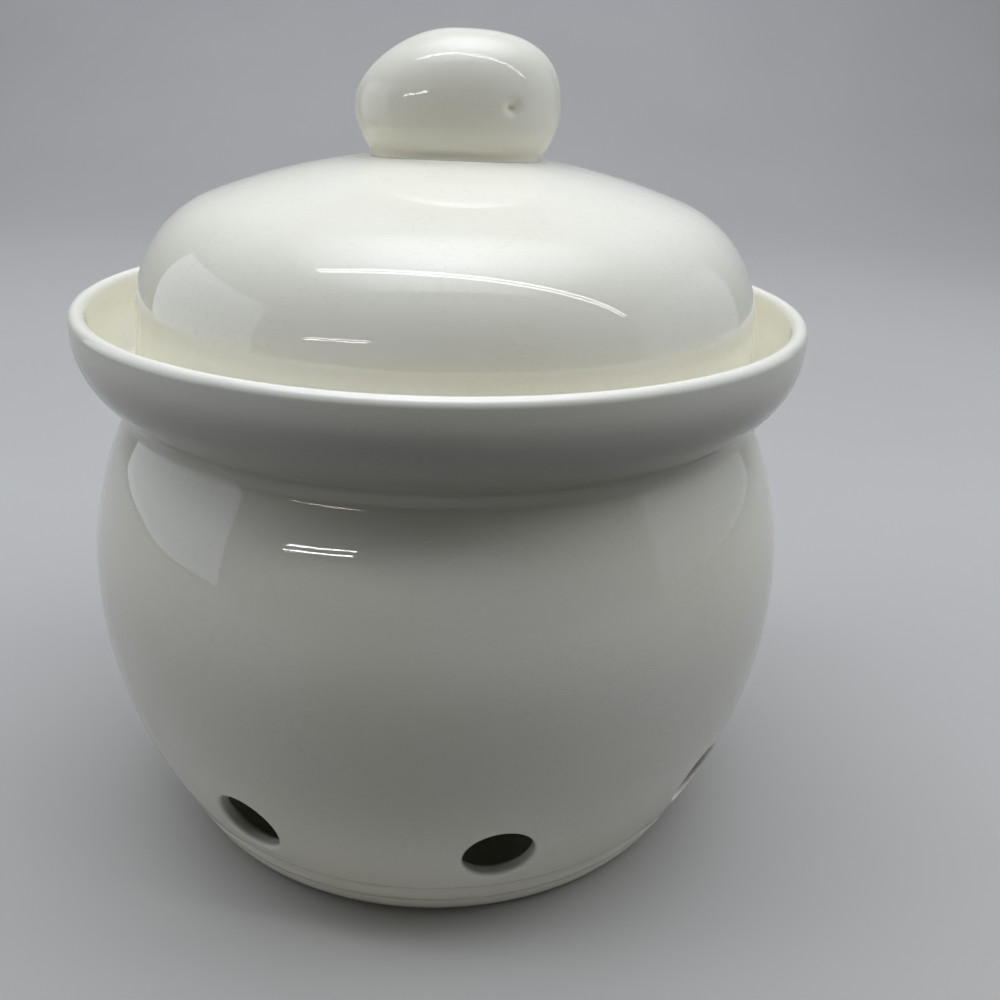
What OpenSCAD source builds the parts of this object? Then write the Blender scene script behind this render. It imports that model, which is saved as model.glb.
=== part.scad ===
// Glazed earthenware potato keeper in three pieces: a round-bellied pot with air vents
// above its foot, a domed lid that drops into the gallery inside the pot's collar, and
// a potato-shaped knob that is cast by itself and stuck to the lid's crown with slip.
// Millimetres, +Z up. The origin is the centre of the foot's resting face.

/* [Pot belly] */
// Greatest diameter of the belly
belly_d = 250.6; // [235:0.2:270]
// Height of the greatest diameter above the foot's face
belly_z = 94; // [86:0.5:102]
// Radius of the belly's curve above the greatest diameter
upper_curve_r = 122; // [112:1:140]
// Diameter of the belly's lower curve near the foot
base_d = 202.4; // [190:0.2:214]
// Height at which that diameter is taken
base_z = 9.2; // [8.4:0.2:14]
// Thickness of the belly's wall
wall = 5; // [4:0.25:8]
// Thickness of the floor
floor_t = 6; // [4.5:0.25:9]
// Radius of the inside corner between floor and wall
floor_corner_r = 16; // [8:1:24]

/* [Foot] */
// Height at which the belly starts to turn in towards the foot
tuck_z = 22.8; // [21:0.2:25]
// Radius of that inward turn
tuck_curve_r = 30; // [24:1:40]
// Radius of the soft hollow between the belly and the foot's ring
waist_r = 2.5; // [1:0.25:4]
// Height of the ring's widest level
ring_z = 15.5; // [14.6:0.1:16.5]
// Radius of the ring's curve
ring_curve_r = 9.6; // [8.6:0.1:12]
// Height of the bead's widest level, which the groove cuts off
bead_z = 10.2; // [9.6:0.1:10.8]
// Radius of the bead's curve
bead_curve_r = 11.75; // [11:0.25:14]
// How far ring and bead stand back from the belly's curve
foot_inset = 0.8; // [0.4:0.1:1.4]
// Width of the flat face that the pot stands on
foot_face_w = 7; // [4:0.5:12]
// Depth of the recess inside the foot
foot_recess = 2.5; // [1.5:0.25:4]

/* [Collar] */
// Outer diameter of the lip
lip_d = 250; // [236:0.5:266]
// Height of the lip's top
lip_z = 189; // [182:0.5:196]
// Thickness of the collar's wall, which the lip rounds over
collar_wall = 5.25; // [4.5:0.25:7.5]
// Radius of the collar's outer curve
collar_curve_r = 27.5; // [24:0.5:32]
// Height of the upright stretch below the lip's rounding
lip_upright = 4.1; // [2:0.1:6]
// Radius of the cove between belly and collar
neck_cove_r = 6; // [4:0.25:9]

/* [Gallery] */
// Depth of the gallery's seat below the lip's top
seat_drop = 23; // [20:0.5:25]
// Thickness of the neck between the cove and the mouth
neck_wall = 10; // [8:0.25:12]
// Rounding of the mouth's upper edge
mouth_edge_r = 2; // [1:0.25:3]

/* [Vents] */
// Number of vents around the pot
vent_n = 9; // [5:1:12]
// Diameter of each vent
vent_d = 23.5; // [16:0.5:26]
// Height of the vents' centres
vent_z = 37.2; // [36:0.2:48]
// Bearing of the middle one of the three front vents
vent_turn = -80.3; // [-180:0.1:180]
// Angle between the front vents; the others share the rest of the way round evenly
vent_gap = 42; // [34:0.5:46]

/* [Lid] */
// Height of the lid's crown above the seat
lid_h = 71.2; // [64:0.2:80]
// Radius of the crown's curve
crown_curve_r = 230; // [180:5:300]
// Radius of the lid's shoulder
lid_shoulder_r = 38.5; // [30:0.5:44]
// How much the lid's side narrows from the rim to the shoulder
lid_taper = 1.7; // [0.5:0.1:4]
// Thickness of the lid's dome
lid_wall = 6.5; // [5:0.25:8]
// Height of the rim's upright edge
rim_h = 4.5; // [3.5:0.25:7]
// Rounding of the rim's lower edge
rim_edge_r = 1.5; // [0.8:0.1:2]
// Depth of the locating flange below the seat
flange_h = 9; // [5:0.5:14]
// Thickness of the locating flange
flange_t = 6; // [4:0.25:8]
// Least thickness between the lid's hollow and the corner where the flange leaves its underside
flange_root_t = 4.5; // [3:0.25:4.75]

/* [Fit of the lid] */
// Play of the lid all round in the mouth
lid_play = 3.4; // [1.5:0.1:4.5]
// Gap left at the side that the lid has slid to
lid_side_gap = 1.7; // [0.3:0.1:2.4]

/* [Knob] */
// Length of the knob across the front
knob_w = 68; // [56:0.5:80]
// Depth of the knob from front to back
knob_d = 50; // [40:0.5:60]
// Height of the knob's top above the lid's crown
knob_h = 38.2; // [30:0.2:46]
// Height of the knob's widest level above the crown
knob_mid_h = 13.5; // [10:0.1:18]
// Depth of the knob's rounded underside below its widest level
knob_under = 23.4; // [20:0.2:30]
// Shift of the knob from the lid's axis
knob_shift = 1.8; // [-4:0.1:4]
// Squareness of the knob above its widest level, where 2 is an ellipse
knob_square = 2.45; // [2:0.05:3]
// How much squarer the knob's right shoulder is, and rounder its left one
knob_lean = 0.25; // [0:0.05:0.5]
// Squareness of the knob below its widest level
knob_low_square = 2.12; // [2:0.02:2.6]
// Share by which the knob's left shoulder drops
knob_droop = 0.25; // [0:0.01:0.5]
// Width of the slip that fills the corner between knob and lid
slip_w = 2.2; // [0.5:0.1:4]
// Height of that slip
slip_h = 3.4; // [1:0.1:5]
// Depth of the potato's eye
eye_depth = 1.1; // [0:0.1:2]
// Radius of the potato's eye
eye_r = 3; // [2:0.1:5]
// Bearing of the eye around the knob
eye_turn = -60; // [-180:1:180]
// Angle of the eye above the knob's widest level
eye_tilt = 2; // [-20:1:60]

/* [Hidden] */

glaze = [0.90, 0.88, 0.81];
lid_glaze = [0.92, 0.90, 0.83];
knob_glaze = [0.93, 0.91, 0.85];

// Fineness of the turned surfaces, and the steps in degrees of the arcs in their outlines:
// long curves of belly and crown, middling curves, and small rounded edges
$fn = 180;
long_step = 2.5;
arc_step = 6;
edge_step = 18;
// Room that a cut runs past the faces it opens
over = 1;

belly_r = belly_d / 2;
lip_r = lip_d / 2;

// The belly's two curves are upright where they meet at the greatest diameter
lower_rise = belly_z - base_z;
lower_swell = belly_r - base_d / 2;
lower_curve_r = (lower_rise * lower_rise + lower_swell * lower_swell) / (2 * lower_swell);
lower_c = [belly_r - lower_curve_r, belly_z];
upper_c = [belly_r - upper_curve_r, belly_z];

// The foot's ring and bead are two rolls with a groove between them, and a soft hollow parts
// the ring from the belly, which turns in above it
ring_c = [reach(lower_c, lower_curve_r, ring_z) - foot_inset - ring_curve_r, ring_z];
bead_c = [reach(lower_c, lower_curve_r, bead_z) - foot_inset - bead_curve_r, bead_z];
groove = meet(bead_c, bead_curve_r, ring_c, ring_curve_r);
foot_r = reach(bead_c, bead_curve_r, 0);
tuck_turn = -asin((belly_z - tuck_z) / lower_curve_r);
tuck_c = lower_c + (lower_curve_r - tuck_curve_r) * [cos(tuck_turn), sin(tuck_turn)];
waist_c = meet(ring_c, ring_curve_r + waist_r, tuck_c, tuck_curve_r + waist_r);
waist_turn = (bearing(waist_c, ring_c) + 360) % 360;

// The collar's curve is upright below the lip, and the lip rounds over the whole wall
lip_round_r = collar_wall / 2;
collar_c = [lip_r - collar_curve_r, lip_z - lip_round_r - lip_upright];
lip_c = [lip_r - lip_round_r, lip_z - lip_round_r];

// The neck's cove touches both the belly and the collar
cove_c = meet(upper_c, upper_curve_r + neck_cove_r, collar_c, collar_curve_r + neck_cove_r);
neck_r = cove_c[0] - neck_cove_r;
cove_turn = bearing(cove_c, upper_c) + 360;

// The gallery's seat runs from the mouth to the collar's inner curve
seat_z = lip_z - seat_drop;
mouth_r = neck_r - neck_wall;
collar_inner_r = collar_curve_r - collar_wall;
seat_r = reach(collar_c, collar_inner_r, seat_z);

// Inside of the pot
floor_z = foot_recess + floor_t;
lower_inner_r = lower_curve_r - wall;
upper_inner_r = upper_curve_r - wall;
corner_z = floor_z + floor_corner_r;
corner_c = [reach(lower_c, lower_inner_r - floor_corner_r, corner_z), corner_z];
mouth_start_z = rise(upper_c, upper_inner_r, mouth_r);

// Lid: its rim fills the gallery and its flange fills the mouth, less the play
lid_shift = lid_play - lid_side_gap;
rim_r = seat_r - lid_play - lid_side_gap;
flange_r = mouth_r - lid_play;
crown_z = seat_z + lid_h;
crown_c = [0, crown_z - crown_curve_r];
side_r = rim_r - lid_taper;
shoulder_c = [
    side_r - lid_shoulder_r,
    rise(crown_c, crown_curve_r - lid_shoulder_r, side_r - lid_shoulder_r)
];
crown_turn = bearing(crown_c, shoulder_c);
// The hollow's shoulder runs parallel to the outer one, or further in where the flange's
// root needs it, and curves on down until it meets the flange's inner face
lid_hollow_r = lid_shoulder_r - lid_wall;
root_c = meet(
    [flange_r, seat_z], lid_hollow_r + flange_root_t,
    crown_c, crown_curve_r - lid_shoulder_r
);
hollow_c = root_c[0] < shoulder_c[0] ? root_c : shoulder_c;
hollow_crown_turn = bearing(crown_c, hollow_c);
hollow_turn = -acos((flange_r - flange_t - hollow_c[0]) / lid_hollow_r);
flange_end_z = seat_z - flange_h + flange_t / 2;

// Knob: the steps of its surface around, and the levels of its rings from pole to pole,
// which lie closer together where the slip flares onto the lid
knob_turns = 64;
slip_levels = [-60, -16];
slip_step = 2.75;
knob_step = 6;
knob_levels = concat(
    [for (v = [-90 + knob_step : knob_step : slip_levels[0] - slip_step]) v],
    [for (v = [slip_levels[0] : slip_step : slip_levels[1]]) v],
    [for (v = [slip_levels[1] + knob_step : knob_step : 90 - knob_step / 2]) v]
);
knob_c = [lid_shift + knob_shift, 0, crown_z + knob_mid_h];

// Radius of a circle about c in the outline plane at the height z
function reach(c, r, z) = c[0] + sqrt(r * r - (z - c[1]) * (z - c[1]));

// Height of the upper side of a circle about c at the radius x
function rise(c, r, x) = c[1] + sqrt(r * r - (x - c[0]) * (x - c[0]));

// The point where a circle about a crosses a circle about b, to the right of the way from a to b
function meet(a, ra, b, rb) =
    let (
        span = norm(b - a),
        along = (ra * ra - rb * rb + span * span) / (2 * span),
        aside = sqrt(ra * ra - along * along),
        dir = (b - a) / span
    )
    a + along * dir + aside * [dir[1], -dir[0]];

// Angle at which the point p is seen from c
function bearing(c, p) = atan2(p[1] - c[1], p[0] - c[0]);

// Points of an arc about c from the angle a0 to the angle a1
function arc(c, r, a0, a1, step) =
    let (steps = max(2, ceil(abs(a1 - a0) / step)))
    [for (i = [0 : steps])
        let (a = a0 + (a1 - a0) * i / steps)
        c + r * [cos(a), sin(a)]];

// The same points without the first one, which the stretch before has drawn already
function on(points) = [for (i = [1 : len(points) - 1]) points[i]];

// Foot from the recess outwards: flat face, bead, ring, soft hollow and the belly's inward turn
function foot_outline() = concat(
    [
        [0, foot_recess],
        [foot_r - foot_face_w - foot_recess, foot_recess],
        [foot_r - foot_face_w, 0]
    ],
    arc(bead_c, bead_curve_r, bearing(bead_c, [foot_r, 0]), bearing(bead_c, groove), arc_step),
    on(arc(ring_c, ring_curve_r, bearing(ring_c, groove), bearing(ring_c, waist_c), arc_step)),
    on(arc(waist_c, waist_r, waist_turn, bearing(waist_c, tuck_c), edge_step / 2)),
    on(arc(tuck_c, tuck_curve_r, bearing(tuck_c, waist_c), tuck_turn, long_step))
);

// Outside of the pot from the foot to the lip's inner edge
function pot_outside() = concat(
    foot_outline(),
    on(arc(lower_c, lower_curve_r, tuck_turn, 0, long_step)),
    arc(upper_c, upper_curve_r, long_step, bearing(upper_c, cove_c), long_step),
    arc(cove_c, neck_cove_r, cove_turn - edge_step / 2, bearing(cove_c, collar_c), edge_step),
    arc(collar_c, collar_curve_r, bearing(collar_c, cove_c) + arc_step, 0, arc_step),
    arc(lip_c, lip_round_r, 0, 180, edge_step)
);

// Inside of the pot from the lip's inner edge down to the floor
function pot_inside() = concat(
    arc(collar_c, collar_inner_r, 0, bearing(collar_c, [seat_r, seat_z]), arc_step),
    arc([mouth_r + mouth_edge_r, seat_z - mouth_edge_r], mouth_edge_r, 90, 180, edge_step),
    arc(upper_c, upper_inner_r, bearing(upper_c, [mouth_r, mouth_start_z]), 0, long_step),
    arc(lower_c, lower_inner_r, -long_step, bearing(lower_c, corner_c), long_step),
    arc(corner_c, floor_corner_r, bearing(lower_c, corner_c) - arc_step, -90, arc_step),
    [[0, floor_z]]
);

// Bearing of the vent i, counted from the middle one at the front
function vent_bearing(i) =
    vent_turn + (i == 0 ? 0 : vent_gap + (i - 1) * (360 - 2 * vent_gap) / (vent_n - 2));

// One vent, bored level towards the pot's axis
module vent_bore() {
    bore_from = reach(lower_c, lower_inner_r, vent_z - vent_d / 2) - wall - over;
    bore_to = reach(lower_c, lower_curve_r, vent_z + vent_d / 2) + over;
    translate([bore_from, 0, vent_z])
        rotate([0, 90, 0])
            cylinder(d = vent_d, h = bore_to - bore_from);
}

module pot() {
    color(glaze)
        difference() {
            rotate_extrude()
                polygon(concat(pot_outside(), pot_inside()));
            for (i = [0 : vent_n - 1])
                rotate([0, 0, vent_bearing(i)])
                    vent_bore();
        }
}

// Outside of the lid from the rim's lower edge to the crown
function lid_outside() = concat(
    arc([rim_r - rim_edge_r, seat_z + rim_edge_r], rim_edge_r, -90, 0, edge_step),
    [[rim_r, seat_z + rim_h]],
    arc(shoulder_c, lid_shoulder_r, 0, crown_turn - arc_step, arc_step),
    arc(crown_c, crown_curve_r, crown_turn, 90, long_step)
);

// Inside of the lid from the crown to the flange
function lid_inside() = concat(
    arc(crown_c, crown_curve_r - lid_wall, 90, hollow_crown_turn, long_step),
    arc(hollow_c, lid_hollow_r, hollow_crown_turn - arc_step, hollow_turn, arc_step),
    arc([flange_r - flange_t / 2, flange_end_z], flange_t / 2, 180, 360, edge_step),
    [[flange_r, seat_z]]
);

module lid() {
    color(lid_glaze)
        translate([lid_shift, 0, 0])
            rotate_extrude()
                polygon(concat(lid_outside(), lid_inside()));
}

// The lid's dome without its hollow, which shapes the knob's base
module lid_dome() {
    translate([lid_shift, 0, 0])
        rotate_extrude()
            polygon(concat([[0, seat_z], [rim_r - rim_edge_r, seat_z]], lid_outside()));
}

function signed_power(x, e) = sign(x) * pow(abs(x), e);

// Share of the eye's depth at the point p on the knob's surface
function eye_share(p, eye) = exp(-pow(norm(p - eye) / eye_r, 2));

// Point of the plain potato at the bearing u and the angle v above the widest level
function potato_point(u, v) =
    let (
        power = 2 / (v > 0 ? knob_square + knob_lean * cos(u) : knob_low_square),
        girth = signed_power(cos(v), power),
        x = knob_w / 2 * girth * cos(u),
        y = knob_d / 2 * girth * sin(u),
        left = max(0, -x / (knob_w / 2)),
        top = (knob_h - knob_mid_h) * (1 - knob_droop * left * left),
        z = (v > 0 ? top : knob_under) * signed_power(sin(v), power)
    )
    [x, y, z];

// Height of a knob's point p above the lid's crown curve
function above_lid(p) =
    knob_c[2] + p[2] - rise(crown_c, crown_curve_r, norm([p[0] + knob_shift, p[1]]));

// How far the slip spreads the knob's point p outwards, from nothing at the slip's upper edge
function slip_spread(p) =
    slip_w * pow(max(0, 1 - max(above_lid(p), -over) / slip_h), 2);

// The same point, pressed in where the eye is and spread where the slip is
function knob_point(u, v) =
    let (
        p = potato_point(u, v),
        dent = eye_depth * eye_share(p, potato_point(eye_turn, eye_tilt)),
        spread = v > 0 ? 0 : slip_spread(p)
    )
    p * (1 - dent / norm(p)) + spread * [cos(u), sin(u), 0];

module potato() {
    rings = [for (v = knob_levels, i = [0 : knob_turns - 1])
        knob_point(360 * i / knob_turns, v)];
    south = len(rings);
    north = south + 1;
    last = south - knob_turns;
    sides = [for (j = [0 : len(knob_levels) - 2], i = [0 : knob_turns - 1], k = [0, 1])
        let (
            here = j * knob_turns,
            a = here + i,
            b = here + (i + 1) % knob_turns
        )
        k == 0 ? [a, a + knob_turns, b] : [b, a + knob_turns, b + knob_turns]];
    caps = [for (i = [0 : knob_turns - 1], k = [0, 1])
        let (next = (i + 1) % knob_turns)
        k == 0 ? [south, i, next] : [north, last + next, last + i]];
    polyhedron(
        points = concat(rings, [[0, 0, -knob_under], [0, 0, knob_h - knob_mid_h]]),
        faces = concat(sides, caps)
    );
}

module knob() {
    color(knob_glaze)
        difference() {
            translate(knob_c)
                potato();
            lid_dome();
        }
}

pot();
lid();
knob();
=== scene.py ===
# %% [markdown]
# A potato keeper in glazed earthenware.
# The real object comes apart into three pieces of clay under one cream glaze: a round pot with air
# vents above its foot, a domed lid that drops into the pot's collar, and a potato-shaped knob that
# is stuck to the lid. This lesson loads the CAD frame first, because every piece has to sit where
# the frame says, and then models each piece again with softer edges than CAD needs.

# %% Load the frame
from math import acos, asin, atan2, cos, degrees, exp, hypot, pi, radians, sin, sqrt

import bmesh
import bpy
from mathutils import Matrix, Vector


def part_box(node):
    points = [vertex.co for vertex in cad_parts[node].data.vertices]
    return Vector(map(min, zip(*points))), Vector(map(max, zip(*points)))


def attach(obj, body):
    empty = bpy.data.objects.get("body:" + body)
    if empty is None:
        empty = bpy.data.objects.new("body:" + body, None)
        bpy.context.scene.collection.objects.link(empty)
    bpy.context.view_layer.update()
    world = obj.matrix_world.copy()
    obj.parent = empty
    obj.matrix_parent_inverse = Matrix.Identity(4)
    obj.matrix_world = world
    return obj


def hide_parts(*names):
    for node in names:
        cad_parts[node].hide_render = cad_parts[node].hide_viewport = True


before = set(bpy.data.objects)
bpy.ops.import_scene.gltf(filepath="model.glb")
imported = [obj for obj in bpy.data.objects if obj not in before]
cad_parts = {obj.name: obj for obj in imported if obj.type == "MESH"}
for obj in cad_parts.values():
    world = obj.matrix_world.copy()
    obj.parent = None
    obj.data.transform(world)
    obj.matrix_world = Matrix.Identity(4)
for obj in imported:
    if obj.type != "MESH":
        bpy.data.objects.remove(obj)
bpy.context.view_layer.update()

MM = 0.001
pot_low, pot_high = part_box("pot")
lid_low, lid_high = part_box("lid")
knob_low, knob_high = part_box("knob")
print("CAD pieces:", ", ".join(sorted(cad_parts)))

# %% [markdown]
# The camera comes before the pieces, so that every render can be laid over the photograph.
# Its place was worked out from the pot itself: a turned shape seen from above gives ellipses, and
# their widths and heights fix the distance, the height and the lens. It could be placed by eye,
# but then no edge would fall where it should. The camera stands close, looks down by 23 degrees
# and is held a little crooked.

# %% Camera
PHOTO_PX = 1000
FOCAL_PX = 1051
SENSOR_MM = 36
eye = Vector((0, -371.7, 265.9)) * MM
look_right = radians(3.41)
look_down = radians(22.67)
roll = radians(-2.07)

ahead = Vector((sin(look_right) * cos(look_down), cos(look_right) * cos(look_down), -sin(look_down)))
level = Vector((cos(look_right), -sin(look_right), 0))
down = ahead.cross(level)
right = cos(roll) * level + sin(roll) * down
up = sin(roll) * level - cos(roll) * down

bpy.ops.object.select_all(action="DESELECT")
bpy.ops.object.camera_add()
camera = bpy.context.object
camera.name = "camera"
camera.data.sensor_width = SENSOR_MM
camera.data.lens = SENSOR_MM * FOCAL_PX / PHOTO_PX
camera.data.clip_start = 10 * MM
camera.matrix_world = Matrix.Translation(eye) @ Matrix((right, up, -ahead)).transposed().to_4x4()
bpy.context.scene.camera = camera
print("camera lens:", round(camera.data.lens, 2), "mm")

# %% [markdown]
# Most of this object was turned, so most of it can be drawn as half of its outline and spun round.
# By hand that is one vertex, extruded from point to point, and then Spin. The outlines here are
# made of arcs that touch, as a potter's template is, so a few centres and radii describe them.

# %% Arcs and outlines
def reach(centre, radius, z):
    """Radius of a circle in the outline plane at the height z."""
    return centre[0] + sqrt(radius**2 - (z - centre[1]) ** 2)


def rise(centre, radius, x):
    """Height of the upper side of a circle in the outline plane at the radius x."""
    return centre[1] + sqrt(radius**2 - (x - centre[0]) ** 2)


def bearing(centre, point):
    """Angle in degrees at which a point is seen from a centre."""
    return degrees(atan2(point[1] - centre[1], point[0] - centre[0]))


def meet(a, ra, b, rb):
    """Where a circle about a crosses a circle about b, to the right of the way from a to b."""
    span = hypot(b[0] - a[0], b[1] - a[1])
    along = (ra**2 - rb**2 + span**2) / (2 * span)
    aside = sqrt(ra**2 - along**2)
    way = ((b[0] - a[0]) / span, (b[1] - a[1]) / span)
    return a[0] + along * way[0] + aside * way[1], a[1] + along * way[1] - aside * way[0]


def arc(centre, radius, start, end, steps):
    """Points of an arc between two angles in degrees."""
    angles = [radians(start + (end - start) * i / steps) for i in range(steps + 1)]
    return [(centre[0] + radius * cos(a), centre[1] + radius * sin(a)) for a in angles]


def soft(before, corner, after, size, steps=5):
    """Points that round a corner off, starting and ending that far from it."""
    corner = Vector(corner)
    first = corner + (Vector(before) - corner).normalized() * size
    last = corner + (Vector(after) - corner).normalized() * size
    shares = [i / steps for i in range(steps + 1)]
    return [tuple((1 - t) ** 2 * first + 2 * t * (1 - t) * corner + t**2 * last) for t in shares]


def turned(name, outline, steps, turn=0.0, axis_x=0.0):
    """Draws an outline of radius and height in millimetres and spins it into a closed skin."""
    out = Vector((cos(turn), sin(turn), 0))
    spots = [Vector((axis_x, 0, 0)) + (r * out + Vector((0, 0, z))) * MM for r, z in outline]
    bpy.ops.object.select_all(action="DESELECT")
    bpy.ops.mesh.primitive_plane_add(size=MM)
    piece = bpy.context.object
    piece.name = name
    bpy.ops.object.mode_set(mode="EDIT")
    bpy.ops.mesh.select_mode(type="VERT")
    bpy.ops.mesh.select_all(action="SELECT")
    bpy.ops.mesh.merge(type="CENTER")
    bpy.ops.transform.translate(value=spots[0])
    for here, there in zip(spots, spots[1:]):
        bpy.ops.mesh.extrude_region_move(TRANSFORM_OT_translate={"value": there - here})
    bpy.ops.mesh.select_all(action="SELECT")
    bpy.ops.mesh.spin(steps=steps, angle=2 * pi, center=(axis_x, 0, 0), axis=(0, 0, 1))
    bpy.ops.mesh.select_all(action="SELECT")
    bpy.ops.mesh.remove_doubles(threshold=0.001 * MM)
    bpy.ops.mesh.normals_make_consistent(inside=False)
    bpy.ops.object.mode_set(mode="OBJECT")
    print(name, "spun from", len(spots), "points:", len(piece.data.polygons), "faces")
    return piece


# %% [markdown]
# The pot is one cast piece. From the floor up its outline has a flat resting face, a bead and a
# ring with a crisp groove between them, a soft hollow, the belly, a cove at the neck and the flared
# collar with a rounded lip. Inside it has the flat gallery that the lid sits on. Greatest width and
# height come from the frame, and the other sizes repeat the CAD model's.

# %% Sizes of the pot
belly_r = -pot_low.x / MM
lip_z = pot_high.z / MM
belly_z = 94
upper_r = 122
base = (101.2, 9.2)
wall = 5
floor_z = 8.5
floor_corner = 16
lip_r = 125
collar_wall = 5.25
collar_r = 27.5
lip_upright = 4.1
cove_r = 6
seat_drop = 23
neck_wall = 10
mouth_edge = 2
seat_soft = 1.2
mouth_soft = 2

seat_z = lip_z - seat_drop
lower_rise = belly_z - base[1]
lower_swell = belly_r - base[0]
lower_r = (lower_rise**2 + lower_swell**2) / (2 * lower_swell)
lower_c = (belly_r - lower_r, belly_z)
upper_c = (belly_r - upper_r, belly_z)
lip_round = collar_wall / 2
collar_c = (lip_r - collar_r, lip_z - lip_round - lip_upright)
lip_c = (lip_r - lip_round, lip_z - lip_round)
cove_c = meet(upper_c, upper_r + cove_r, collar_c, collar_r + cove_r)
mouth_r = cove_c[0] - cove_r - neck_wall
seat_corner = (reach(collar_c, collar_r - collar_wall, seat_z), seat_z)
mouth_start = (mouth_r, rise(upper_c, upper_r - wall, mouth_r))
corner_z = floor_z + floor_corner
corner_c = (reach(lower_c, lower_r - wall - floor_corner, corner_z), corner_z)
print("mouth radius:", round(mouth_r, 2), "seat height:", round(seat_z, 2))

# %% [markdown]
# The foot is a bead and a ring, two rolls of clay that cross in the groove. Their centres follow from
# the belly's curve, so a wider belly takes its foot along.

# %% Sizes of the foot
face_w = 7
recess = 2.5
foot_inset = 0.8
bead_z = 10.2
bead_r = 11.75
ring_z = 15.5
ring_r = 9.6
waist_r = 2.5
tuck_z = 22.8
tuck_r = 30
recess_row = 40
recess_soft = 1.5
face_soft = 0.8
foot_soft = 0.7
groove_soft = 0.3

bead_c = (reach(lower_c, lower_r, bead_z) - foot_inset - bead_r, bead_z)
ring_c = (reach(lower_c, lower_r, ring_z) - foot_inset - ring_r, ring_z)
groove = meet(bead_c, bead_r, ring_c, ring_r)
foot_r = reach(bead_c, bead_r, 0)
face_r = foot_r - face_w
tuck_turn = -asin((belly_z - tuck_z) / lower_r)
tuck_c = (
    lower_c[0] + (lower_r - tuck_r) * cos(tuck_turn),
    lower_c[1] + (lower_r - tuck_r) * sin(tuck_turn),
)
waist_c = meet(ring_c, ring_r + waist_r, tuck_c, tuck_r + waist_r)
print("foot radius:", round(foot_r, 2), "groove at:", [round(x, 2) for x in groove])

# %% [markdown]
# The vents need care before the spin. A round hole in a curved wall is cleanest when it replaces a
# square patch of faces, so the spin gets even columns, and the outline gets even rows at the vents'
# height on the outside and the inside of the wall.

# %% Outline of the pot
vent_n = 9
vent_r = 11.5
vent_z = 37.2
vent_turn = radians(-80.3)
vent_gap = radians(42)
vent_soft = 1.6
columns = 240
patch_cells = 12
patch_reach = 15.4
patch_half = degrees(patch_reach / lower_r)
vent_drop_out = degrees(asin((belly_z - vent_z) / lower_r))
vent_drop_in = degrees(asin((belly_z - vent_z) / (lower_r - wall)))


def belly_low(radius, first, vent_drop, steps):
    """Arc of the belly's lower curve up to its widest level, with even rows where the vents are."""
    low = -vent_drop - patch_half
    high = -vent_drop + patch_half
    return (
        arc(lower_c, radius, first, low, steps)[:-1]
        + arc(lower_c, radius, low, high, patch_cells)
        + arc(lower_c, radius, high, 0, 8)[1:]
    )


bead = arc(bead_c, bead_r, bearing(bead_c, (foot_r, 0)), bearing(bead_c, groove), 12)
ring = arc(ring_c, ring_r, bearing(ring_c, groove), bearing(ring_c, waist_c), 12)
waist = arc(waist_c, waist_r, bearing(waist_c, ring_c) % 360, bearing(waist_c, tuck_c), 6)
foot = (
    [(0, recess), (face_r - recess_row, recess)]
    + soft((0, recess), (face_r - recess, recess), (face_r, 0), recess_soft)
    + soft((face_r - recess, recess), (face_r, 0), (foot_r, 0), face_soft)
    + [(face_r + face_w / 2, 0)]
    + soft((face_r, 0), (foot_r, 0), bead[1], foot_soft)
    + bead[1:-1]
    + soft(bead[-2], groove, ring[1], groove_soft, 3)
    + ring[1:]
    + waist[1:]
    + arc(tuck_c, tuck_r, bearing(tuck_c, waist_c), degrees(tuck_turn), 6)[1:-1]
)
outside = (
    belly_low(lower_r, degrees(tuck_turn), vent_drop_out, 2)
    + arc(upper_c, upper_r, 0, bearing(upper_c, cove_c), 12)[1:]
    + arc(cove_c, cove_r, bearing(cove_c, upper_c) + 360, bearing(cove_c, collar_c), 10)[1:]
    + arc(collar_c, collar_r, bearing(collar_c, cove_c), 0, 16)[1:]
    + arc(lip_c, lip_round, 0, 180, 16)
)
seat_room = 4       # degrees of arc left for the rounded corner at the seat
mouth_room = 1.2    # and at the mouth
seat_row = 4
collar_in = arc(collar_c, collar_r - collar_wall, 0, bearing(collar_c, seat_corner) + seat_room, 12)
mouth_arc = arc(upper_c, upper_r - wall, bearing(upper_c, mouth_start) - mouth_room, 0, 10)
inside = (
    collar_in
    + soft(collar_in[-1], seat_corner, (mouth_r, seat_z), seat_soft)
    + [(seat_corner[0] - seat_row, seat_z)]
    + arc((mouth_r + mouth_edge, seat_z - mouth_edge), mouth_edge, 90, 180, 6)
    + soft((mouth_r, seat_z), mouth_start, mouth_arc[0], mouth_soft)
    + mouth_arc[:-1]
    + belly_low(lower_r - wall, bearing(lower_c, corner_c), vent_drop_in, 3)[::-1]
    + arc(corner_c, floor_corner, bearing(lower_c, corner_c), -90, 8)[1:]
    + [(corner_c[0] / 2, floor_z), (0, floor_z)]
)
pot = turned("pot_shell", foot + outside + inside, columns, vent_turn)

# %% [markdown]
# Each vent is bored level through the wall, and its edges were sponged round before firing.
# A Boolean cut leaves long thin faces that show as ripples in the gloss. So the square patches are
# deleted on both faces of the wall, a sleeve with rounded ends is placed in each gap, and Bridge
# Edge Loops joins the two. The last step lays the new rows back on the belly's curve.

# %% Open the wall
column = 2 * pi / columns
vent_step = (2 * pi - 2 * vent_gap) / (vent_n - 2)
vent_turns = [vent_turn] + [vent_turn + vent_gap + i * vent_step for i in range(vent_n - 1)]
patch_turns = [vent_turn + round((turn - vent_turn) / column) * column for turn in vent_turns]


def across(point, turn):
    """Angle in degrees between a point's bearing and another bearing."""
    return degrees((atan2(point.y, point.x) - turn + pi) % (2 * pi) - pi)


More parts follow.
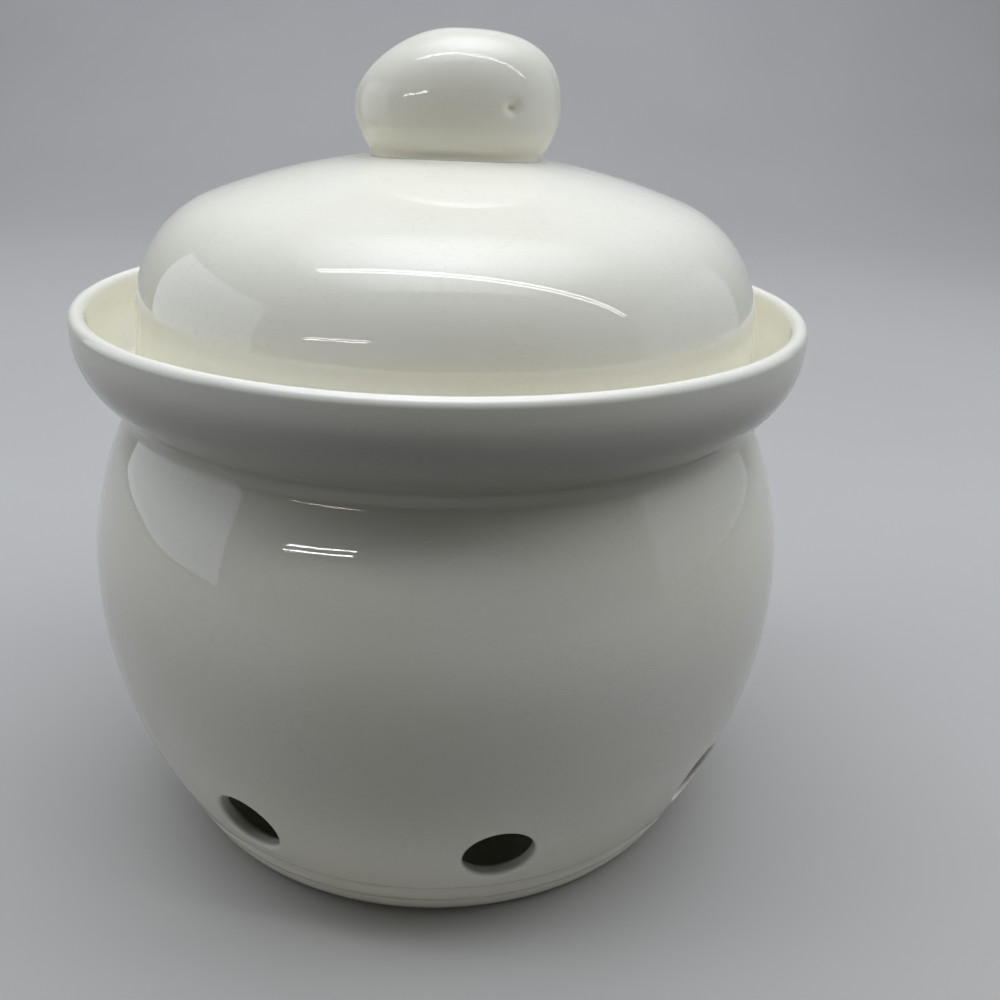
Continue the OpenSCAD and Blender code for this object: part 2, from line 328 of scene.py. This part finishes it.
def belly_spot(point):
    """Drop below the widest level, and distance from the lower curve's centre, as an angle and a radius."""
    out = hypot(point.x, point.y) / MM - lower_c[0]
    below = belly_z - point.z / MM
    return degrees(atan2(below, out)), hypot(out, below)


patch_wide = degrees(column) * patch_cells / 2
bpy.ops.object.mode_set(mode="EDIT")
bpy.ops.mesh.select_mode(type="FACE")
bpy.ops.mesh.select_all(action="DESELECT")
bpy.ops.object.mode_set(mode="OBJECT")
for face in pot.data.polygons:
    drop, radius = belly_spot(face.center)
    outer = abs(radius - lower_r) < 1 and abs(drop - vent_drop_out) < patch_half
    inner = abs(radius - lower_r + wall) < 1 and abs(drop - vent_drop_in) < patch_half
    if outer or inner:
        face.select = min(abs(across(face.center, turn)) for turn in patch_turns) < patch_wide
bpy.ops.object.mode_set(mode="EDIT")
bpy.ops.mesh.delete(type="FACE")
bpy.ops.object.mode_set(mode="OBJECT")
print("patches opened, faces left:", len(pot.data.polygons))

# %% [markdown]
# A sleeve is a flat grid that a rule rolls into a tube. Its rows follow a path through the wall: a
# rounded edge, the straight bore and a rounded edge again. It is made once, copied and turned.

# %% Sleeves of the vents
def vent_point(turn, width, depth):
    """Place on a vent's skin: turn round the bore, distance from its axis, depth in the wall."""
    aside = width * cos(turn)
    z = vent_z + width * sin(turn)
    r = reach(lower_c, lower_r - depth, z)
    return Vector((sqrt(r**2 - aside**2), aside, z)) * MM


edge_steps = 6
quarter = [pi / 2 * i / edge_steps for i in range(edge_steps + 1)]
rows = [(vent_r + vent_soft * (1 - sin(a)), vent_soft * (1 - cos(a))) for a in quarter]
rows += [(vent_r, vent_soft + (wall - 2 * vent_soft) * i / 3) for i in (1, 2)]
rows += [(vent_r + vent_soft * (1 - cos(a)), wall - vent_soft * (1 - sin(a))) for a in quarter]

bpy.ops.object.select_all(action="DESELECT")
bpy.ops.mesh.primitive_grid_add(x_subdivisions=4 * patch_cells, y_subdivisions=len(rows) - 1, size=2)
sleeve = bpy.context.object
for vertex in sleeve.data.vertices:
    row = round((vertex.co.y + 1) / 2 * (len(rows) - 1))
    vertex.co = vent_point(pi * (vertex.co.x + 1), *rows[row])

sleeves = [sleeve]
for turn in vent_turns[1:]:
    twin = sleeve.copy()
    twin.data = sleeve.data.copy()
    twin.data.transform(Matrix.Rotation(turn, 4, "Z"))
    bpy.context.collection.objects.link(twin)
    sleeves.append(twin)
sleeve.data.transform(Matrix.Rotation(vent_turn, 4, "Z"))

bpy.ops.object.select_all(action="DESELECT")
for part in sleeves + [pot]:
    part.select_set(True)
bpy.context.view_layer.objects.active = pot
bpy.ops.object.join()
bpy.ops.object.mode_set(mode="EDIT")
bpy.ops.mesh.select_all(action="SELECT")
bpy.ops.mesh.remove_doubles(threshold=0.001 * MM)
print("sleeves joined:", vent_n)

# %% [markdown]
# Bridging draws straight lines from the sleeve's round edge to the square gap, with two rows between
# them. Those rows cut the corner of the belly's curve by a hair, and gloss would show it. So each of
# their points is moved out level until it lies on the curve again.

# %% Bridge the sleeves to the wall
gap_reach = 15        # degrees either side of a vent
settle_height = 20    # millimetres above and below the vents' centres
settle_least = 1e-4
settle_most = 0.5
edge_room = 0.05


def select_gap(turn, outer):
    """Selects the open edges round one vent on one face of the wall."""
    bpy.ops.mesh.select_all(action="DESELECT")
    shell = bmesh.from_edit_mesh(pot.data)
    for edge in shell.edges:
        if edge.is_boundary:
            middle = (edge.verts[0].co + edge.verts[1].co) / 2
            on_outer = belly_spot(middle)[1] > lower_r - wall / 2
            edge.select_set(abs(across(middle, turn)) < gap_reach and on_outer == outer)
    bmesh.update_edit_mesh(pot.data)


bpy.ops.mesh.select_mode(type="EDGE")
for turn in vent_turns:
    for outer in (True, False):
        select_gap(turn, outer)
        bpy.ops.mesh.bridge_edge_loops(number_cuts=2, interpolation="LINEAR")
bpy.ops.mesh.select_all(action="SELECT")
bpy.ops.mesh.normals_make_consistent(inside=False)
bpy.ops.object.mode_set(mode="OBJECT")

settled = 0
for vertex in pot.data.vertices:
    radius = belly_spot(vertex.co)[1]
    curve_r = lower_r if radius > lower_r - wall / 2 else lower_r - wall
    above_vent = vertex.co.z / MM - vent_z
    if settle_least < abs(radius - curve_r) < settle_most and abs(above_vent) < settle_height:
        turn = min(vent_turns, key=lambda t: abs(across(vertex.co, t)))
        from_axis = hypot(vertex.co.x, vertex.co.y) / MM
        aside = from_axis * sin(radians(across(vertex.co, turn)))
        if hypot(aside, above_vent) > vent_r + vent_soft + edge_room:
            share = reach(lower_c, curve_r, vertex.co.z / MM) / from_axis
            vertex.co.x *= share
            vertex.co.y *= share
            settled += 1
print("pot:", len(pot.data.polygons), "faces,", settled, "points laid on the belly's curve")

# %% [markdown]
# The lid is turned as well. Its dome runs into a rounded shoulder and a short upright rim, and a
# flange under it hangs in the pot's mouth, so that the lid can't slide off. It sits a little to the
# right in its seat, as in the photograph, so its own axis is used for the spin.

# %% Lid
lid_x = (lid_low.x + lid_high.x) / 2
rim_r = (lid_high.x - lid_low.x) / 2 / MM
crown_z = lid_high.z / MM
crown_r = 230
shoulder_r = 38.5
taper = 1.7
lid_wall = 6.5
rim_h = 4.5
rim_edge = 1.5
flange_t = 6
lid_play = 3.4
flange_root = 4.5
shoulder_soft = 1.5
rim_soft = 2
root_soft = 1
flange_soft = 1.4

flange_r = mouth_r - lid_play
flange_low = lid_low.z / MM
crown_c = (0, crown_z - crown_r)
shoulder_x = rim_r - taper - shoulder_r
shoulder_c = (shoulder_x, rise(crown_c, crown_r - shoulder_r, shoulder_x))
crown_turn = bearing(crown_c, shoulder_c)
hollow_r = shoulder_r - lid_wall
root_c = meet((flange_r, seat_z), hollow_r + flange_root, crown_c, crown_r - shoulder_r)
hollow_c = min(root_c, shoulder_c)
hollow_crown_turn = bearing(crown_c, hollow_c)
hollow_turn = -degrees(acos((flange_r - flange_t - hollow_c[0]) / hollow_r))
shoulder = arc(shoulder_c, shoulder_r, crown_turn, 0, 20)
rim_top = (rim_r, seat_z + rim_h)
hollow = arc(hollow_c, hollow_r, hollow_turn, hollow_crown_turn, 22)
flange_tip = (flange_r - flange_t / 2, flange_low + flange_t / 2)
lid_outline = (
    arc(crown_c, crown_r, 90, crown_turn, 18)[:-1]
    + shoulder[:-1]
    + soft(shoulder[-2], shoulder[-1], rim_top, shoulder_soft)
    + soft(shoulder[-1], rim_top, (rim_r, seat_z), rim_soft)
    + arc((rim_r - rim_edge, seat_z + rim_edge), rim_edge, 0, -90, 6)
    + soft((rim_r, seat_z), (flange_r, seat_z), (flange_r, flange_low), root_soft)
    + arc(flange_tip, flange_t / 2, 0, -180, 10)
    + soft((flange_r - flange_t, flange_low), hollow[0], hollow[1], flange_soft)
    + hollow[1:]
    + arc(crown_c, crown_r - lid_wall, hollow_crown_turn, 90, 16)[1:]
)
lid = turned("lid_shell", lid_outline, columns, 0, lid_x)

# %% [markdown]
# The knob is a potato, longer than deep, with a squarer right shoulder and a lower left one, and one
# small eye. It could be sculpted, but then nobody could repeat it. A sphere's vertices are moved by
# a rule instead: a rounded box whose corners get rounder or squarer, and a skirt of slip that fills
# the corner where the knob was stuck to the lid.

# %% Knob
knob_half_w = 34
knob_half_d = 25
knob_mid_h = 13.5
knob_under = 23.4
knob_shift = 1.8
knob_square = 2.45
knob_lean = 0.25
knob_low_square = 2.12
knob_droop = 0.25
slip_w = 2.2
slip_h = 3.4
sink = 0.1
top_room = 0.02
eye_depth = 1.7
eye_r = 2
eye_place = (radians(-60), radians(2))

knob_top = knob_high.z / MM - top_room
knob_mid = crown_z + knob_mid_h
knob_x = lid_x / MM + knob_shift
print("knob width in the frame:", round((knob_high.x - knob_low.x) / MM, 2), "here:", 2 * knob_half_w)


def signed_power(x, power):
    return abs(x) ** power * (1 if x > 0 else -1)


def above_lid(p):
    """Height of a knob's point above the lid's crown curve."""
    return p.z - rise(crown_c, crown_r, hypot(p.x - lid_x / MM, p.y))


def potato(u, v):
    """The plain potato at the bearing u and the angle v above its widest level."""
    power = 2 / (knob_square + knob_lean * cos(u) if v > 0 else knob_low_square)
    girth = signed_power(cos(v), power)
    x = knob_half_w * girth * cos(u)
    y = knob_half_d * girth * sin(u)
    left = max(0, -x / knob_half_w)
    height = (knob_top - knob_mid) * (1 - knob_droop * left**2) if v > 0 else knob_under
    return Vector((knob_x + x, y, knob_mid + height * signed_power(sin(v), power)))


def knob_side(u, v):
    """The potato with its eye pressed in and its slip spread on to the lid."""
    p = potato(u, v)
    centre = Vector((knob_x, 0, knob_mid))
    dent = eye_depth * exp(-(((p - potato(*eye_place)).length / eye_r) ** 2))
    spread = slip_w * max(0, 1 - max(above_lid(p), -1) / slip_h) ** 2 if v < 0 else 0
    return p - (p - centre).normalized() * dent + spread * Vector((cos(u), sin(u), 0))


def lowest_turn(u):
    """Angle at which the knob's side meets the lid, found by halving."""
    low, high = radians(-80), radians(-5)
    for _ in range(40):
        middle = (low + high) / 2
        if above_lid(knob_side(u, middle)) > -sink:
            high = middle
        else:
            low = middle
    return high


bpy.ops.object.select_all(action="DESELECT")
bpy.ops.mesh.primitive_uv_sphere_add(segments=192, ring_count=128, radius=1)
knob = bpy.context.object
knob.name = "knob_potato"
base_level = -60
for vertex in knob.data.vertices:
    u = atan2(vertex.co.y, vertex.co.x)
    level_turn = degrees(asin(max(-1, min(1, vertex.co.z))))
    foot_turn = lowest_turn(u)
    if level_turn >= base_level:
        share = (level_turn - base_level) / (90 - base_level)
        p = knob_side(u, foot_turn + (pi / 2 - foot_turn) * share)
    else:
        edge = knob_side(u, foot_turn)
        share = (level_turn + 90) / (base_level + 90)
        x = knob_x + (edge.x - knob_x) * share
        y = edge.y * share
        p = Vector((x, y, rise(crown_c, crown_r, hypot(x - lid_x / MM, y)) - sink))
    vertex.co = p * MM
print("knob:", len(knob.data.polygons), "faces")

# %% [markdown]
# Cast clay has no flat facets, so all three pieces are shaded smooth. Smoothing by angle keeps the few
# real edges, such as the fine groove in the foot, from being smeared over.

# %% Smooth shading
for piece in (pot, lid, knob):
    bpy.ops.object.select_all(action="DESELECT")
    piece.select_set(True)
    bpy.context.view_layer.objects.active = piece
    bpy.ops.object.shade_smooth_by_angle(angle=radians(40))
    print(piece.name, "is shaded smooth")

# %% [markdown]
# Glaze is liquid for a while in the kiln. It runs off edges and gathers in hollows, where the thicker
# coat looks warmer. Here the hollows are also made darker and warmer as painted shade, and the edges
# paler as a painted highlight. The mesh knows where those places are: at each vertex, the way its
# neighbours lie above or below its own surface tells how hollow it is. That number is kept as an
# attribute, so the material can read it. Pointiness would give the same, but it depends on the render engine.

# %% Where the glaze gathers, and where shade and highlight are painted
def mark_hollows(piece):
    """Stores how hollow the surface is at each vertex, in thousandths per millimetre."""
    mesh = piece.data
    bend = [0.0] * len(mesh.vertices)
    count = [0] * len(mesh.vertices)
    for edge in mesh.edges:
        a, b = (mesh.vertices[i] for i in edge.vertices)
        way = b.co - a.co
        span = max(way.length_squared, 1e-10)
        for here, sign in ((a, 1), (b, -1)):
            bend[here.index] += sign * 2 * way.dot(here.normal) / span * MM
            count[here.index] += 1
    hollow = mesh.attributes.new("hollow", "FLOAT", "POINT")
    for i, total in enumerate(bend):
        hollow.data[i].value = max(-0.4, min(0.4, total / max(count[i], 1)))
    print(piece.name, "hollow marks:", len(bend))


for piece in (pot, lid, knob):
    mark_hollows(piece)

# %% [markdown]
# The glaze inside the pot is thinner and duller than outside, because it was only swilled round. The
# photograph shows nothing but dark through the vents, so this is a guess, and the colour stays the
# same. A second material could do it, but then the edge between the two would follow the faces. A mark
# on each vertex blends over the vents' rounded edges instead.

# %% Inside of the pot
inner_depth = 0.7    # share of the wall that lies outside the mark


def is_inside(point):
    """Whether a point of the pot lies on the skin below the mouth that potatoes touch."""
    level = hypot(point.x, point.y) / MM
    z = point.z / MM
    centre, radius = (lower_c, lower_r) if z < belly_z else (upper_c, upper_r)
    within = hypot(level - centre[0], z - centre[1]) < radius - inner_depth * wall
    return within and floor_z - 0.5 < z < mouth_start[1] + 1


inside_mark = pot.data.attributes.new("inside", "FLOAT", "POINT")
for vertex in pot.data.vertices:
    inside_mark.data[vertex.index].value = 1.0 if is_inside(vertex.co) else 0.0
print("inside points:", sum(mark.value > 0.5 for mark in inside_mark.data))

# %% [markdown]
# All three pieces wear one material: a clear glossy glaze over a cream body. A Principled shader is
# already built like that, a coloured body under a shiny skin, so no second layer is needed. The rest
# is what keeps glaze from looking like plastic: slow changes of tone, warmer hollows, a net of hair
# cracks, a few dark specks of iron, and a skin that isn't quite flat.

# %% Helpers for materials
def new_material(name):
    material = bpy.data.materials.new(name)
    material.use_nodes = True
    return material, material.node_tree.nodes["Principled BSDF"]


def put(material, socket, value):
    """Links another node's output to a socket, or types a value in."""
    if isinstance(value, bpy.types.NodeSocket):
        material.node_tree.links.new(value, socket)
    else:
        socket.default_value = value


def add_node(material, kind, **sockets):
    """Adds a node and fills the sockets that are named."""
    node = material.node_tree.nodes.new("ShaderNode" + kind)
    for name, value in sockets.items():
        put(material, node.inputs[name.replace("_", " ")], value)
    return node


def noise(material, place, scale, detail):
    return add_node(material, "TexNoise", Vector=place, Scale=scale, Detail=detail).outputs["Fac"]


def ramp(material, value, low, high, first, last):
    """Turns a range of values into a range of results."""
    node = add_node(material, "MapRange", Value=value, From_Min=low, From_Max=high, To_Min=first, To_Max=last)
    return node.outputs["Result"]


def calc(material, kind, operation, *values):
    """A Math or Vector Math node with its values in order."""
    node = add_node(material, kind)
    node.operation = operation
    for socket, value in zip(node.inputs, values):
        put(material, socket, value)
    return node.outputs[0]


def mix(material, share, first, last):
    """Mixes two colours."""
    node = add_node(material, "Mix")
    node.data_type = "RGBA"
    for number, value in ((0, share), (6, first), (7, last)):
        put(material, node.inputs[number], value)
    return node.outputs[2]


# %% [markdown]
# The colour is laid on in coats, each mixed over the one before: slow clouds between two creams first,
# then a darker, warm tone in the hollows, for pooled glaze and as painted shade, and a pale one on the
# edges, for thin glaze and as a painted highlight.

# %% Glaze: colour
cream_deep = (0.88, 0.855, 0.725, 1)
cream_pale = (0.905, 0.885, 0.785, 1)
# Darker, warmer tone for the hollows: pooled glaze, and painted shade there as well.
pooled_shade_tone = (0.83, 0.77, 0.56, 1)
# Paler tone for convex edges: thinner glaze, and a painted highlight there as well.
thin_highlight_tone = (0.915, 0.905, 0.85, 1)

glaze, skin = new_material("cream_glaze")
spot = add_node(glaze, "TexCoord").outputs["Object"]
cloud = ramp(glaze, noise(glaze, spot, 11, 3), 0.35, 0.65, 0, 1)
tone = mix(glaze, cloud, cream_deep, cream_pale)

hollow_mark = add_node(glaze, "Attribute")
hollow_mark.attribute_name = "hollow"
# Hollows take the warm tone as painted shade as well as pooled glaze.
pooled_shade = ramp(glaze, hollow_mark.outputs["Fac"], 0.02, 0.25, 0, 0.5)
# Convex edges take the pale tone as a painted highlight as well as thin glaze.
thin_highlight = ramp(glaze, hollow_mark.outputs["Fac"], -0.10, -0.35, 0, 0.6)
tone = mix(glaze, pooled_shade, tone, pooled_shade_tone)
tone = mix(glaze, thin_highlight, tone, thin_highlight_tone)
print("glaze colour ready")

# %% [markdown]
# Hair cracks come when the glaze shrinks more than the clay. They form a fine net of short lines that
# lie mostly along the turning. Voronoi cells have just such borders: the cells are bent by a noise so
# that no border is straight, pressed flat in height, and shown in patches only.

# %% Glaze: hair cracks and specks
crack_tone = (0.42, 0.37, 0.27, 1)
speck_tone = (0.22, 0.17, 0.11, 1)
crack_bend = (0.002, 0.002, 0.0004)
crack_flatness = (1, 1, 3.6)

wander = add_node(glaze, "TexNoise", Vector=spot, Scale=160, Detail=2).outputs["Color"]
bent = calc(glaze, "VectorMath", "MULTIPLY_ADD", wander, crack_bend, spot)
flat = calc(glaze, "VectorMath", "MULTIPLY", bent, crack_flatness)
cells = add_node(glaze, "TexVoronoi", Scale=260)
cells.feature = "DISTANCE_TO_EDGE"
put(glaze, cells.inputs["Vector"], flat)
line = ramp(glaze, cells.outputs["Distance"], 0.0, 0.08, 1, 0)
broken = ramp(glaze, noise(glaze, spot, 420, 1), 0.42, 0.58, 0, 1)
patchy = noise(glaze, spot, 38, 2)
patch = ramp(glaze, patchy, 0.36, 0.66, 0.02, 0.13)
crack = calc(glaze, "Math", "MULTIPLY", calc(glaze, "Math", "MULTIPLY", line, broken), patch)
tone = mix(glaze, crack, tone, crack_tone)

dots = add_node(glaze, "TexVoronoi", Vector=spot, Scale=75)
dot = ramp(glaze, dots.outputs["Distance"], 0.018, 0.030, 1, 0)
chosen = ramp(glaze, dots.outputs["Color"], 0.82, 0.86, 0, 0.7)
speck = calc(glaze, "Math", "MULTIPLY", dot, chosen)
tone = mix(glaze, speck, tone, speck_tone)
print("hair cracks and specks ready")

# %% [markdown]
# The ring that the pot stands on is wiped clean before firing, or the glaze would stick to the kiln's
# shelf. It is picked out by height alone, in the same material, since it is the only place that low.

# %% Glaze: bare foot
clay_dark = (0.60, 0.50, 0.37, 1)
clay_pale = (0.74, 0.65, 0.52, 1)

height = add_node(glaze, "SeparateXYZ", Vector=spot).outputs["Z"]
bare = ramp(glaze, height, 0.2 * MM, 0.5 * MM, 1, 0)
clay = mix(glaze, noise(glaze, spot, 700, 4), clay_dark, clay_pale)
put(glaze, skin.inputs["Base Color"], mix(glaze, bare, tone, clay))
gloss = ramp(glaze, patchy, 0.3, 0.7, 0.015, 0.04)
inner = add_node(glaze, "Attribute")
inner.attribute_name = "inside"
dull = ramp(glaze, inner.outputs["Fac"], 0, 1, gloss, ramp(glaze, patchy, 0.3, 0.7, 0.42, 0.58))
put(glaze, skin.inputs["Roughness"], ramp(glaze, bare, 0, 1, dull, 0.85))
print("bare clay up to 0.5 mm above the floor")

# %% [markdown]
# A glaze's skin is never quite flat. A slow swell bends long highlights a little, and a very fine one
# roughens their edges, as on orange peel. Both are bumps, because neither would show in an outline.

# %% Glaze: skin
skin.inputs["IOR"].default_value = 1.53
wave = noise(glaze, spot, 32, 1)
peel = noise(glaze, spot, 420, 2)
swell = add_node(glaze, "Bump", Height=wave, Strength=0.2, Distance=1 * MM).outputs["Normal"]
fine = add_node(glaze, "Bump", Height=peel, Strength=0.04, Distance=0.1 * MM, Normal=swell).outputs["Normal"]
put(glaze, skin.inputs["Normal"], fine)

for piece in (pot, lid, knob):
    piece.data.materials.clear()
    piece.data.materials.append(glaze)
print("glaze made of", len(glaze.node_tree.nodes), "nodes")

# %% [markdown]
# The set is one sheet of pale paper: a floor that curves up behind the pot, so that no line shows
# where the wall begins. By hand: a plane, its far edge extruded up, and that corner bevelled. Pale
# paper throws light back up, which would take the shade from under the collar. So its material looks
# at the light's path: soft light that has come further than a hand's width finds the paper dark.

# %% Floor
SHEET = 6.0
BEND = 1.6
bpy.ops.object.select_all(action="DESELECT")
bpy.ops.mesh.primitive_plane_add(size=SHEET)
floor = bpy.context.object
floor.name = "floor"
bpy.ops.object.mode_set(mode="EDIT")
bpy.ops.mesh.select_mode(type="EDGE")
bpy.ops.mesh.select_all(action="DESELECT")
bpy.ops.object.mode_set(mode="OBJECT")
for edge in floor.data.edges:
    edge.select = all(floor.data.vertices[i].co.y > 0 for i in edge.vertices)
bpy.ops.object.mode_set(mode="EDIT")
bpy.ops.mesh.extrude_region_move(TRANSFORM_OT_translate={"value": (0, 0, SHEET / 2)})
bpy.ops.mesh.select_all(action="DESELECT")
bpy.ops.object.mode_set(mode="OBJECT")
for edge in floor.data.edges:
    edge.select = all(
        floor.data.vertices[i].co.y > 0 and floor.data.vertices[i].co.z < 0.1 for i in edge.vertices
    )
bpy.ops.object.mode_set(mode="EDIT")
bpy.ops.mesh.bevel(offset=BEND, segments=24, affect="EDGES")
bpy.ops.object.mode_set(mode="OBJECT")
bpy.ops.object.shade_smooth()

paper_dark = (0.40, 0.39, 0.37, 1)
paper_pale = (0.45, 0.44, 0.42, 1)
paper_unlit = (0.02, 0.02, 0.02, 1)
bounce_full = 0.06
bounce_gone = 0.20

paper, sheet = new_material("pale_paper")
place = add_node(paper, "TexCoord").outputs["Object"]
fleck = noise(paper, place, 3, 6)
light_path = add_node(paper, "LightPath").outputs
far = ramp(paper, light_path["Ray Length"], bounce_full, bounce_gone, 0, 1)
kept_back = calc(paper, "Math", "MULTIPLY", light_path["Is Diffuse Ray"], far)
paper_tone = mix(paper, kept_back, mix(paper, fleck, paper_dark, paper_pale), paper_unlit)
put(paper, sheet.inputs["Base Color"], paper_tone)
put(paper, sheet.inputs["Roughness"], ramp(paper, fleck, 0, 1, 0.6, 0.8))
nap = add_node(paper, "Bump", Height=noise(paper, place, 500, 3), Strength=0.1, Distance=0.2 * MM)
put(paper, sheet.inputs["Normal"], nap.outputs["Normal"])
floor.data.materials.append(paper)
print("floor and backdrop:", len(floor.data.polygons), "faces")

# %% [markdown]
# A glossy round pot is lit by what it mirrors, so light and shine come from different lamps here. A
# soft panel above and a fill at each side light the glaze but never show in it. They come from high
# up, so the collar shades the neck and the front stays darker. A wide ceiling and two side windows
# light nothing by themselves: they only show in the gloss, as a soft sheen and as bright patches with
# clear edges, because without them glaze looks like satin paint. A pair of long tubes above draws the
# line along the lid, and a shorter pair at the front left draws the double lines on the lid and the
# belly. Their places follow from the photograph: a line of sight mirrored in the glaze points back at
# the lamp. One more lamp lights the paper behind the pot.

# %% Lights
def lamp(name, place, target, size, size_y, power, colour=(1, 1, 1)):
    """A rectangular area light at a place, facing a target."""
    bpy.ops.object.light_add(type="AREA", location=place)
    light = bpy.context.object
    light.name = name
    light.data.shape = "RECTANGLE"
    light.data.size = size
    light.data.size_y = size_y
    light.data.energy = power
    light.data.color = colour
    light.visible_camera = False
    light.rotation_euler = (Vector(target) - Vector(place)).to_track_quat("-Z", "Y").to_euler()
    return light


def tube(name, start, end, target, power, width):
    """A straight tube light between two points, with its flat side towards a target."""
    start, end = Vector(start), Vector(end)
    along = (end - start).normalized()
    middle = (start + end) / 2
    facing = (middle - Vector(target)).normalized()
    facing = (facing - facing.dot(along) * along).normalized()
    light = lamp(name, middle, target, (end - start).length, width, power)
    light.matrix_world = (
        Matrix.Translation(middle)
        @ Matrix((along, facing.cross(along), facing)).transposed().to_4x4()
    )
    return light


daylight = (0.93, 0.985, 1.085)
panel = lamp("panel", (0, 0.08, 1.5), (0, 0.08, 0), 1.6, 1.2, 12.4, daylight)
panel.visible_glossy = False
for name, x, power in (("left_fill", -1.1, 5.2), ("right_fill", 1.1, 6.0)):
    fill = lamp(name, (x, 0, 1.1), (0, 0, 0.1), 0.8, 0.8, power, daylight)
    fill.visible_glossy = False
ceiling = lamp("ceiling", (0, 0.35, 1.9), (0, 0.35, 0), 3.6, 2.6, 20, daylight)
ceiling.data.spread = radians(75)
ceiling.visible_diffuse = False
for name, x, power in (("left_window", -1.36, 3.6), ("right_window", 1.36, 1.6)):
    window = lamp(name, (x, 0.17, 0.47), (0, 0.17, 0.47), 1.45, 0.9, power, daylight)
    window.visible_diffuse = False
backdrop = lamp("backdrop_light", (0, 1.5, 2.2), (0, 2.6, 0.4), 3.6, 0.5, 42, daylight)
backdrop.visible_glossy = False
aim = (0, 0, 0.15)
tube_shift = 0.04
for i, shift in enumerate((-tube_shift, tube_shift)):
    left_end = (-1.08, -0.16 + shift, 1.9)
    right_end = (3.1, -1.26 + shift, 1.9)
    tube(f"overhead_tube_{i + 1}", left_end, right_end, aim, 5.2, 0.026)
    left_end = (-1.92 + 0.6 * shift, -1.64, 0.75 + 0.85 * shift)
    right_end = (-1.12 + 0.6 * shift, -2.22, 0.925 + 0.85 * shift)
    tube(f"front_tube_{i + 1}", left_end, right_end, aim, 1.4, 0.014)

world = bpy.data.worlds.new("studio")
bpy.context.scene.world = world
world.use_nodes = True
background = world.node_tree.nodes["Background"]
background.inputs["Color"].default_value = (0.9, 0.95, 1, 1)
background.inputs["Strength"].default_value = 0.04
bpy.context.scene.view_settings.view_transform = "Standard"

# %% [markdown]
# Last, each piece is tied to the body that it moves with, and the CAD solid that it stands for is hidden.
# The knob is stuck to the lid, so both ride on the lid's body and lift together.

# %% Join the pieces to the frame
for piece, body, node in ((pot, "pot", "pot"), (lid, "lid", "lid"), (knob, "lid", "knob")):
    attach(piece, body)
    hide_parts(node)
